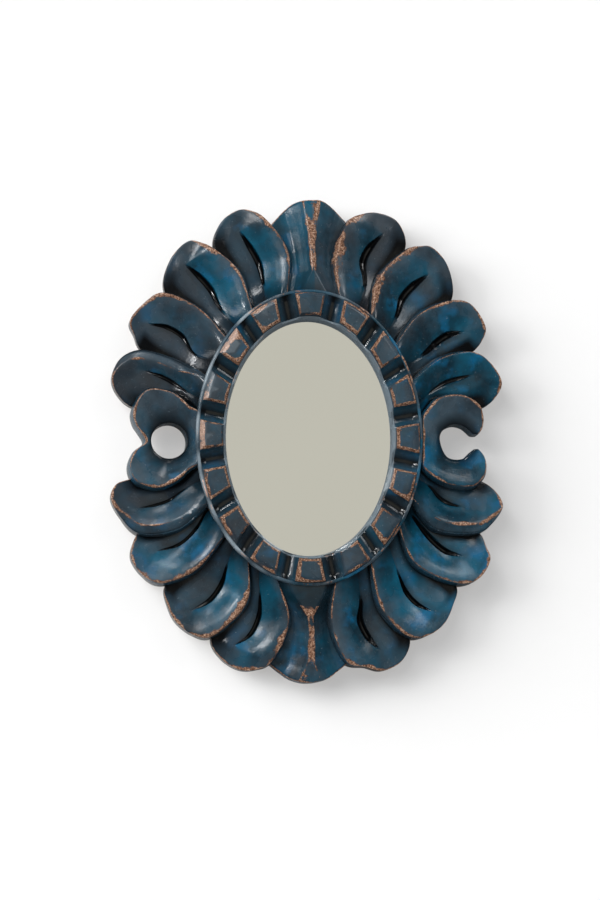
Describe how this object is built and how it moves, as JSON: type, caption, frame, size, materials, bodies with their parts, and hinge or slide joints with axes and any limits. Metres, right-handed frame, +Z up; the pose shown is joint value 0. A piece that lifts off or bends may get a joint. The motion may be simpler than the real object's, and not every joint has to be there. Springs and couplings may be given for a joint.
{
  "type": "oval wall mirror",
  "caption": "Upright oval wall mirror in a carved, painted wooden frame: a ring of square blocks round the glass, ringed by comma-shaped petals that meet in a scroll at each side.",
  "frame": {"origin": "centre of the oval on the plane of the frame's back, where it meets the wall", "axes": "+Z up along the oval's length, +X to the right as the viewer sees it, +Y into the wall, so the glass faces -Y"},
  "size_m": [0.3283, 0.038, 0.4002],
  "materials": {
    "painted_wood": "glossy deep blue paint over carved wood, rubbed through to copper brown along the edges",
    "bare_wood": "planed bare wood, stained dark",
    "silvered_glass": "clear float glass, silvered behind",
    "card": "grey packing card",
    "hardboard": "brown hardboard, smooth face out",
    "brass": "pressed brass, dulled",
    "steel": "zinc-plated steel"
  },
  "bodies": {
    "root": {"inner_frame": "bare_wood", "block_ring": "painted_wood", "petals_top": "painted_wood", "petals_bottom": "painted_wood", "petals_left": "painted_wood", "petals_right": "painted_wood", "tongue_upper_right": "bare_wood", "tongue_upper_left": "bare_wood", "tongue_lower_left": "bare_wood", "tongue_lower_right": "bare_wood", "mirror_glass": "silvered_glass", "packing_sheet": "card", "backing_board": "hardboard", "button_screws": "brass", "hanger_strap": "steel", "hanger_screws": "steel"},
    "turn_button_top": {"turn_button_top": "brass"},
    "turn_button_right": {"turn_button_right": "brass"},
    "turn_button_bottom": {"turn_button_bottom": "brass"},
    "turn_button_left": {"turn_button_left": "brass"},
    "hanger_ring": {"hanger_ring": "steel"}
  },
  "joints": [
    {"name": "turn_button_top", "type": "hinge", "parent": "root", "child": "turn_button_top", "pos_m": [0, -0.0137, 0.10872], "axis": [0, 1, 0], "range_deg": [-90, 90]},
    {"name": "turn_button_right", "type": "hinge", "parent": "root", "child": "turn_button_right", "pos_m": [0.0795, -0.0137, 0], "axis": [0, 1, 0], "range_deg": [-90, 90]},
    {"name": "turn_button_bottom", "type": "hinge", "parent": "root", "child": "turn_button_bottom", "pos_m": [0, -0.0137, -0.10872], "axis": [0, 1, 0], "range_deg": [-90, 90]},
    {"name": "turn_button_left", "type": "hinge", "parent": "root", "child": "turn_button_left", "pos_m": [-0.0795, -0.0137, 0], "axis": [0, 1, 0], "range_deg": [-90, 90]},
    {"name": "hanger_ring_swing", "type": "hinge", "parent": "root", "child": "hanger_ring", "pos_m": [0, -0.00345, 0.15762], "axis": [1, 0, 0], "range_deg": [0, 180]}
  ]
}
